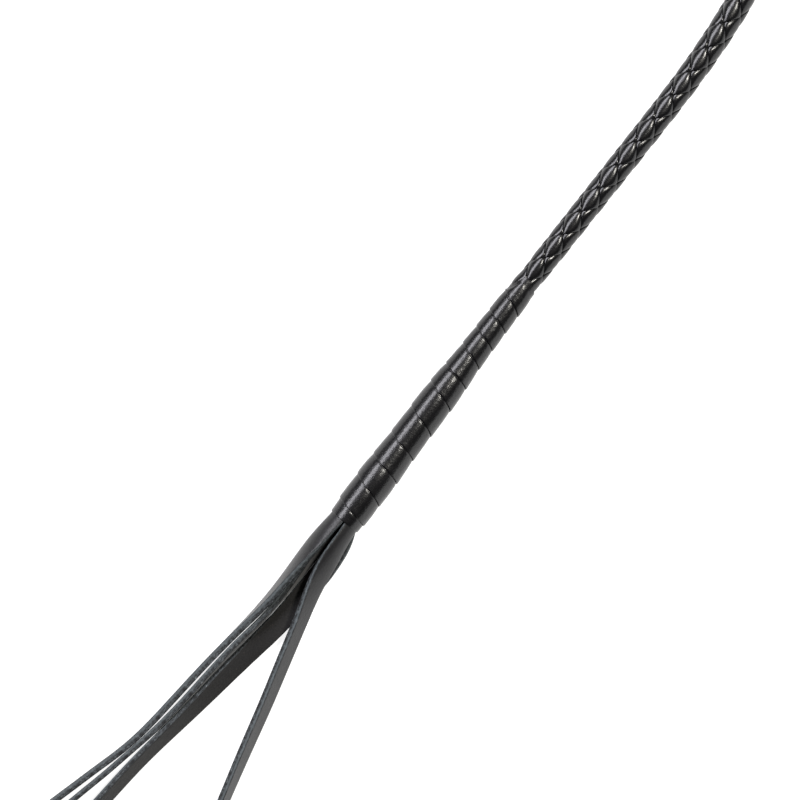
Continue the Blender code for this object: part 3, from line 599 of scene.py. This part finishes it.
def build_tail(k):
    st = TAILS[k][::-1]
    cols = []
    for c in range(1, 5):
        xs, ys = smooth([(p[0], p[c]) for p in st], 5.0, TAIL_X1, TAIL_X0)
        cols.append(ys)

    def section(x):
        """centre y, z, roll, curl, width and thickness at x."""
        t = TAIL_T[k]
        if x > TAIL_X0:
            s = x
            th = t * (1 - 0.5 * ramp(s, 46, 74))
            r = root_outer(s) - th / 2
            w = 2 * math.pi * r / 4 - 0.4 - 0.25 * t - 1.6 * ramp(s, 50, 74)
            a = math.radians(QUAD[k])
            _, _, cz = shaft(s, 0, 0)
            c = (0.2 + r * math.cos(a), cz + r * math.sin(a), QUAD[k], 5.1 / r, w, th)
            # meet the free length smoothly over the last few millimetres
            f = ramp(s, TAIL_X0, 5.0)
            e = section(TAIL_X0)
            return tuple(e[i] * (1 - f) + c[i] * f for i in range(6))
        y, z, roll, curl = [float(np.interp(x, xs, c)) for c in cols]
        w = TAIL_W - (1.55 if k < 3 else 0.3) * (1 - ramp(-x, 1.6, 18))
        w *= 1.0 - 0.12 * ramp(-x, 185, 212)
        return (y, z, roll, max(0.0, curl), w, t)

    stations = list(np.arange(72.0, 6.0, -4.0)) + list(np.arange(6.0, -40.0, -1.0)) + \
        list(np.arange(-40.0, -211.0, -2.0)) + [-211.3, -211.8, -212.0]
    rings, uvs, side = [], [], []
    NW, NT = 14, 6
    for q, x in enumerate(stations):
        y, z, roll, curl, w, t = section(x)
        tip = 1.0
        if x < -211.0:
            tip = {-211.3: 0.985, -211.8: 0.95, -212.0: 0.9}[round(x, 1)]
        wob = 0.06 * rnd(x * 0.22, k * 3.7, 0.0) + 0.035 * rnd(x * 0.9, k * 5.1, 1.0)
        wob2 = 0.06 * rnd(x * 0.2, k * 9.7, 3.0) + 0.035 * rnd(x * 0.8, k * 2.1, 5.0)
        roll = math.radians(roll)
        kk = curl / 5.1
        pts, uv, gs = [], [], []

        def put(v, h, per, g):
            """v across the width, h through the thickness (outward +)."""
            if kk > 1e-4:
                ca = kk * v
                rr = 1 / kk + h
                across, up = rr * math.sin(ca), rr * math.cos(ca) - 1 / kk
            else:
                across, up = v, h
            ny, nz = math.cos(roll), math.sin(roll)
            dy, dz = -nz, ny
            Y = y + dy * across + ny * up
            Z = z + dz * across + nz * up
            Z = max(Z, 0.02)
            if x > TAIL_X0:
                # the root follows the shaft line
                hx = float(np.interp(max(x, 0), S_GRID, _h)) - TILT
                cx, cy, _ = shaft(max(x, 0.0), 0, 0)
                bx, by, _ = low(x, 0.2, 0)
                p = low(x, Y, Z)
                pts.append((p[0] + (cx - bx) * (1 if x > 0 else 0), p[1] + (cy - by) * (1 if x > 0 else 0), p[2]))
            else:
                pts.append(low(x, Y, Z))
            uv.append((x * MM, per * MM))
            gs.append(g)

        rc = 0.28
        hw, ht = w / 2 * tip, t / 2 * tip
        per = 0.0
        # outer face, from the low-v corner to the high-v corner
        for j in range(NW + 1):
            v = -hw + rc + (2 * hw - 2 * rc) * j / NW
            crown = 0.05 * (1 - (v / hw) ** 2)
            put(v, ht + crown, v + 20, 1.0)
        # high-v cut edge, from outside to inside
        for j in range(NT + 1):
            f = j / NT
            h = ht - 0.16 - (2 * ht - 0.32) * f
            bul = 0.10 * math.sin(math.pi * f)
            put(hw + bul + wob - (0.06 if j in (0, NT) else 0), h, 40 + h, 1 - f)
        # inner face
        for j in range(NW + 1):
            v = hw - rc - (2 * hw - 2 * rc) * j / NW
            put(v, -ht, v + 60, 0.0)
        # low-v cut edge
        for j in range(NT + 1):
            f = j / NT
            h = -ht + 0.16 + (2 * ht - 0.32) * f
            bul = 0.10 * math.sin(math.pi * f)
            put(-hw - bul - wob2 + (0.06 if j in (0, NT) else 0), h, 80 + h, f)
        rings.append(pts)
        uvs.append(uv)
        side.append(gs)
    m = len(rings[0])
    ring_mat = []
    a = NW + 1
    b = a + NT + 1
    c = b + NW + 1
    for j in range(m):
        if j < a - 1:
            ring_mat.append(0)
        elif j < b:
            ring_mat.append(1)
        elif j < c - 1:
            ring_mat.append(2)
        else:
            ring_mat.append(1)
    o = loft("strap_tail_%d" % k, rings, [M_FACE, M_EDGE, M_FLESH], ring_mat=ring_mat,
             uvs=uvs, attr=("grain_side", side), body=None, smooth_angle=42)
    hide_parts("tail_%d" % k, "tail_%d_root" % k)
    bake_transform(o)
    return o


for k in (1, 2, 3, 4):
    build_tail(k)

# ------------------------------------------------------------ the handle
GRIP_START, GRIP_END, GRIP_PITCH = 353.0, 490.6, 13.0
CORE_R = [(343.4, 6.6), (353, 6.6), (385, 8.0), (430, 8.5), (491, 8.5)]


def build_grip():
    """The grip strip: each turn lies beside the one nearer the butt with a small gap, its edges rounded down."""
    turns = (GRIP_END - GRIP_START) / GRIP_PITCH
    k0, k1, per = -0.98, turns + 0.0, 60
    n = int((k1 - k0) * per)
    fr = [0.0, 0.02, 0.06, 0.14, 0.26, 0.4, 0.55, 0.7, 0.82, 0.91, 0.96, 0.985, 1.0]
    rings = []
    for q in range(n + 1):
        k = k0 + (k1 - k0) * q / n
        a = GRIP_END - (k + 1) * GRIP_PITCH
        b = a + GRIP_PITCH - 0.12
        a = max(a, GRIP_START)
        b = min(b, GRIP_END)
        if b - a < 0.5:
            b = a + 0.5 if a < GRIP_END - 1 else b
            a = min(a, b - 0.5)
        ang = math.pi / 2 + 2 * math.pi * k
        o_, i_ = [], []
        for f in fr:
            s = a + (b - a) * f
            base = table(CORE_R, s) + 0.2
            e = min(f, 1 - f) * (b - a)
            h = 0.9 + 0.16 * math.sin(math.pi * f) - 0.42 * math.exp(-(e / 0.5))
            h += 0.03 * rnd(k * 3.0, s * 0.4, 9.0)
            o_.append(shaft(s, base + h, ang))
            i_.append(shaft(s, base, ang))
        rings.append(o_ + i_[::-1])
    o = loft("grip_strip", rings, [M_GRIP], smooth_angle=50)
    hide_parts("grip_wrap")


build_grip()


def collar():
    """A plaited leather ring over the top of the grip: raised interlaced
    bights round a firm band."""
    s0, s1 = 333.0, 352.0
    prof = [(s0, 5.75), (s0 + 0.1, 6.6), (s0 + 0.6, 7.2), (s0 + 1.8, 7.9), (s0 + 4, 8.3), (s0 + 8, 8.75),
            (s1 - 5, 8.85), (s1 - 2, 8.7), (s1 - 0.7, 8.4), (s1 - 0.1, 7.9), (s1, 6.95), (343.0, 6.95), (343.0, 5.75)]
    o = revolve("collar_band", prof, M_GRIP, seg=96, closed=True)
    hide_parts("grip_collar")
    # two raised laces, crossing over and under five times round
    for w, sgn in ((1, 1), (2, -1)):
        rings = []
        N = 360
        for q in range(N):
            t = 2 * math.pi * q / N
            s = (s0 + s1) / 2 + 0.5 + sgn * 5.6 * math.sin(2.5 * t * 1.0 * 2)
            over = math.cos(5 * t * 1.0) * sgn
            slope = sgn * 5.6 * 5 * math.cos(5 * t)
            base = table(prof[1:10], s) - 0.25 + 0.22 * over
            c = []
            for j in range(10):
                a = 2 * math.pi * j / 10
                across = 1.35 * math.cos(a)
                up = 0.5 * math.sin(a)
                ds = across / math.sqrt(1 + (slope / 8.5) ** 2)
                dt = -across * (slope / 8.5) / math.sqrt(1 + (slope / 8.5) ** 2) / 8.5
                rr = table(prof[1:10], s + ds) + 0.15 + 0.2 * over + up
                c.append(shaft(s + ds, rr, t + dt))
            rings.append(c)
        verts = [tuple(v * MM for v in p) for r in rings for p in r]
        faces = []
        for i in range(N):
            for j in range(10):
                i2, k = (i + 1) % N, (j + 1) % 10
                faces.append((i * 10 + j, i * 10 + k, i2 * 10 + k, i2 * 10 + j))
        me = bpy.data.meshes.new("collar_lace_%d" % w)
        me.from_pydata(verts, [], faces)
        me.materials.append(M_GRIP)
        bm = bmesh.new()
        bm.from_mesh(me)
        bmesh.ops.recalc_face_normals(bm, faces=bm.faces)
        bm.to_mesh(me)
        bm.free()
        me.shade_smooth()
        l = bpy.data.objects.new("collar_lace_%d" % w, me)
        bpy.context.scene.collection.objects.link(l)
        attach(l, "crop")


collar()

CAP_START, CAP_END, CAP_R = 491.0, 512.0, 10.0
cap_prof = [(CAP_START, 2.8), (CAP_START, 8.9), (CAP_START + 0.35, 9.6), (CAP_START + 1.0, 9.95),
            (CAP_START + 2.4, 10.0), (CAP_START + 2.6, 9.7), (CAP_START + 2.9, 9.6), (CAP_START + 3.2, 9.7),
            (CAP_START + 3.4, 10.0), (CAP_END - 4.2, 10.0), (CAP_END - 4.0, 9.75), (CAP_END - 3.8, 9.7),
            (CAP_END - 3.6, 9.75), (CAP_END - 3.4, 10.0), (CAP_END - 1.4, 9.98), (CAP_END - 0.8, 9.7),
            (CAP_END - 0.3, 9.2), (CAP_END - 0.05, 8.6), (CAP_END, 8.2), (CAP_END, 5.2), (CAP_END - 0.25, 5.0),
            (CAP_END - 0.35, 4.5), (CAP_END - 0.3, 2.0), (CAP_END - 0.3, 0.02)]
cap = revolve("butt_cap_turned", cap_prof + [(CAP_START + 14, 0.02), (CAP_START + 14, 2.8)], M_CAP, seg=96,
              closed=True, angle=35)
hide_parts("butt_cap")

# rivets and their burrs
rivet = Vector(shaft(502.0, 0, 0))
for side, sg in (("left", 1), ("right", -1)):
    prof = [(5.0, 0.02), (6.0, 1.4), (12.2, 1.4), (12.35, 3.1), (12.45, 3.3), (12.6, 3.3), (12.9, 3.05),
            (13.3, 2.4), (13.6, 1.5), (13.74, 0.7), (13.75, 0.02)]
    rings = []
    for h, r in prof:
        rings.append([(rivet.x + r * math.cos(2 * math.pi * j / 40), rivet.y + sg * h,
                       rivet.z + r * math.sin(2 * math.pi * j / 40)) for j in range(40)])
    o = loft("rivet_" + side, rings, [M_BRASS], smooth_angle=40)
    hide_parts("loop_rivet_" + side)

# ------------------------------------------------------------ wrist loop
LOOP_W, LOOP_T, LOOP_REACH, END_R = 9.0, 1.8, 140.0, 24.0
droop = math.radians(-2.1)


def loop_path():
    pts = []
    for p in np.arange(-4.5, 114.0, 1.5):
        q = 11.2 + (END_R - 11.2) * ramp(p, 14, 84)
        pts.append((p, q))
    for i in range(0, 31):
        t = math.pi / 2 * i / 30
        pts.append((114.0 + (LOOP_REACH - 114.0) * math.sin(t), END_R * math.cos(t)))
    return pts + [(p, -q) for p, q in pts[-2::-1]]


def build_loop():
    pts = loop_path()
    length, acc = [0.0], 0.0
    for a, b in zip(pts[:-1], pts[1:]):
        acc += math.hypot(b[0] - a[0], b[1] - a[1])
        length.append(acc)
    rings, uvs = [], []
    NW = 10
    for i, (p, q) in enumerate(pts):
        a, b = pts[max(0, i - 1)], pts[min(len(pts) - 1, i + 1)]
        d = Vector((b[0] - a[0], b[1] - a[1])).normalized()
        nrm = Vector((-d.y, d.x))
        e = min(length[i], acc - length[i])
        hw = LOOP_W / 2 if e > 4.5 else math.sqrt(max(LOOP_W ** 2 / 4 - (4.5 - e) ** 2, 0.3))
        ring, uv = [], []
        sect = []
        for j in range(NW + 1):
            v = -1 + 2 * j / NW
            sect.append((v * (hw - 0.25), 0.9 + 0.06 * (1 - v * v)))
        sect += [(hw - 0.07, 0.7), (hw, 0.3), (hw, -0.3), (hw - 0.07, -0.7)]
        for j in range(NW + 1):
            v = 1 - 2 * j / NW
            sect.append((v * (hw - 0.25), -0.9))
        sect += [(-hw + 0.07, -0.7), (-hw, -0.3), (-hw, 0.3), (-hw + 0.07, 0.7)]
        for w, h in sect:
            lx, ly = p + nrm.x * h, q + nrm.y * h
            x = lx * math.cos(droop) - w * math.sin(droop)
            z = lx * math.sin(droop) + w * math.cos(droop)
            ring.append((rivet.x + x, rivet.y + ly, rivet.z + z))
            uv.append((length[i] * MM, (w + (20 if h > 0 else 50)) * MM))
        rings.append(ring)
        uvs.append(uv)
    o = loft("hand_loop", rings, [M_LOOP], uvs=uvs, body="loop", smooth_angle=45)
    # rivet holes
    bm = bmesh.new()
    bmesh.ops.create_cone(bm, cap_ends=True, segments=40, radius1=1.55 * MM, radius2=1.55 * MM, depth=30 * MM)
    me = bpy.data.meshes.new("hole_tool")
    bm.to_mesh(me)
    bm.free()
    c = bpy.data.objects.new("hole_tool", me)
    bpy.context.scene.collection.objects.link(c)
    c.location = rivet * MM
    c.rotation_euler = (math.pi / 2, 0, 0)
    bpy.context.view_layer.update()
    bo = o.modifiers.new("holes", "BOOLEAN")
    bo.operation = "DIFFERENCE"
    bo.solver = "EXACT"
    bo.object = c
    dg = bpy.context.evaluated_depsgraph_get()
    new = bpy.data.meshes.new_from_object(o.evaluated_get(dg))
    o.modifiers.remove(bo)
    o.data = new
    bpy.data.objects.remove(c, do_unlink=True)
    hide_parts("wrist_loop")
    # a row of stitches along each edge, outer face
    verts, faces = [], []
    for edge in (-1, 1):
        s = 12.0
        while s < acc - 12.0:
            i = int(np.searchsorted(length, s)) - 1
            f = (s - length[i]) / (length[i + 1] - length[i])
            p = pts[i][0] + (pts[i + 1][0] - pts[i][0]) * f
            q = pts[i][1] + (pts[i + 1][1] - pts[i][1]) * f
            d = Vector((pts[i + 1][0] - pts[i][0], pts[i + 1][1] - pts[i][1])).normalized()
            nrm = Vector((-d.y, d.x))
            w0 = edge * (LOOP_W / 2 - 1.2)
            for face in (1, -1):
                base = len(verts)
                for u in range(7):
                    uu = -1 + 2 * u / 6
                    rad = 0.22 * math.sqrt(max(0.0, 1 - uu ** 4)) + 0.02
                    for j in range(8):
                        aa = 2 * math.pi * j / 8
                        h = face * (0.93 + 0.10 * (1 - uu * uu)) + rad * math.sin(aa)
                        w = w0 + rad * math.cos(aa)
                        lx = p + d.x * uu * 1.05 + nrm.x * h
                        ly = q + d.y * uu * 1.05 + nrm.y * h
                        x = lx * math.cos(droop) - w * math.sin(droop)
                        z = lx * math.sin(droop) + w * math.cos(droop)
                        verts.append(((rivet.x + x) * MM, (rivet.y + ly) * MM, (rivet.z + z) * MM))
                for u in range(6):
                    for j in range(8):
                        k = (j + 1) % 8
                        faces.append((base + u * 8 + j, base + u * 8 + k, base + (u + 1) * 8 + k, base + (u + 1) * 8 + j))
                faces.append(tuple(base + j for j in range(8)))
                faces.append(tuple(base + 48 + j for j in reversed(range(8))))
            s += 2.9
    me = bpy.data.meshes.new("loop_stitches")
    me.from_pydata(verts, [], faces)
    me.materials.append(M_STITCH)
    bm = bmesh.new()
    bm.from_mesh(me)
    bmesh.ops.recalc_face_normals(bm, faces=bm.faces)
    bm.to_mesh(me)
    bm.free()
    me.shade_smooth()
    st = bpy.data.objects.new("loop_stitches", me)
    bpy.context.scene.collection.objects.link(st)
    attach(st, "loop")


build_loop()

# ------------------------------------------------------------ carried-over nodes
for name, mat in (("core_rod", M_STEEL), ("tip_bolster", M_BOLSTER), ("grip_core", M_BOLSTER),
                  ("tail_lashing", M_THREAD), ("braid_seizing", M_THREAD)):
    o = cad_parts[name]
    for sl in o.material_slots:
        sl.material = mat
    if not o.material_slots:
        o.data.materials.append(mat)

# ------------------------------------------------------------ floor, light, camera
floor_mat, ft, fb = new_mat("floor", (0.42, 0.42, 0.42), 0.9)
fb.inputs["Specular IOR Level"].default_value = 0.1
fb.inputs["Emission Color"].default_value = (1, 1, 1, 1)
fb.inputs["Emission Strength"].default_value = 0.86
me = bpy.data.meshes.new("floor")
me.from_pydata([(-6, -6, 0), (6, -6, 0), (6, 6, 0), (-6, 6, 0)], [], [(0, 1, 2, 3)])
me.materials.append(floor_mat)
floor = bpy.data.objects.new("floor", me)
bpy.context.scene.collection.objects.link(floor)
floor.location = (0, 0, -0.0002)

world = bpy.data.worlds.new("studio")
world.use_nodes = True
world.node_tree.nodes["Background"].inputs["Color"].default_value = (1, 1, 1, 1)
world.node_tree.nodes["Background"].inputs["Strength"].default_value = 0.02
bpy.context.scene.world = world

CENTRE = Vector(low(51.2, 12.08, 8.0)) * MM
XH = Vector((math.cos(TILT), math.sin(TILT), 0))
YH = Vector((-math.sin(TILT), math.cos(TILT), 0))
ZH = Vector((0, 0, 1))


def area(name, along, across, up, dist, size_x, size_y, power, colour):
    """An area light in the direction (along, across, up), its size_x laid
    along the lower shaft."""
    d = (XH * along + YH * across + ZH * up).normalized()
    l = bpy.data.lights.new(name, "AREA")
    l.shape = "RECTANGLE"
    l.size, l.size_y = size_x, size_y
    l.energy = power
    l.color = colour
    o = bpy.data.objects.new(name, l)
    bpy.context.scene.collection.objects.link(o)
    o.location = CENTRE + d * dist
    z = d
    x = (XH - z * XH.dot(z)).normalized()
    y = z.cross(x)
    o.matrix_world = Matrix((
        (x.x, y.x, z.x, o.location.x), (x.y, y.y, z.y, o.location.y),
        (x.z, y.z, z.z, o.location.z), (0, 0, 0, 1)))
    return o


def tilt(deg):
    return math.sin(math.radians(deg)), math.cos(math.radians(deg))


sn, cs = tilt(42)
area("softbox_left", 0.05, sn, cs, 1.3, 1.7, 0.40, 28, (0.95, 0.94, 1.0))
area("key_top", 0.46, -0.12, 1.0, 2.3, 0.30, 0.26, 36, (1.0, 0.97, 0.90))
sn, cs = tilt(78)
area("panel_right", 0.0, -sn, cs, 1.4, 2.6, 0.62, 8, (1.0, 1.0, 1.0))

cam = bpy.data.cameras.new("camera")
cam.type = "PERSP"
cam.sensor_width = 36.0
cam.sensor_fit = "HORIZONTAL"
H = 1.5
cam.lens = 36.0 * H / 0.320
cam.clip_start, cam.clip_end = 0.05, 30
co = bpy.data.objects.new("camera", cam)
bpy.context.scene.collection.objects.link(co)
co.location = (CENTRE.x, CENTRE.y, 0.008 + H)
co.rotation_euler = (0, 0, math.radians(-61.5))
bpy.context.scene.camera = co
bpy.context.scene.view_settings.view_transform = "Standard"
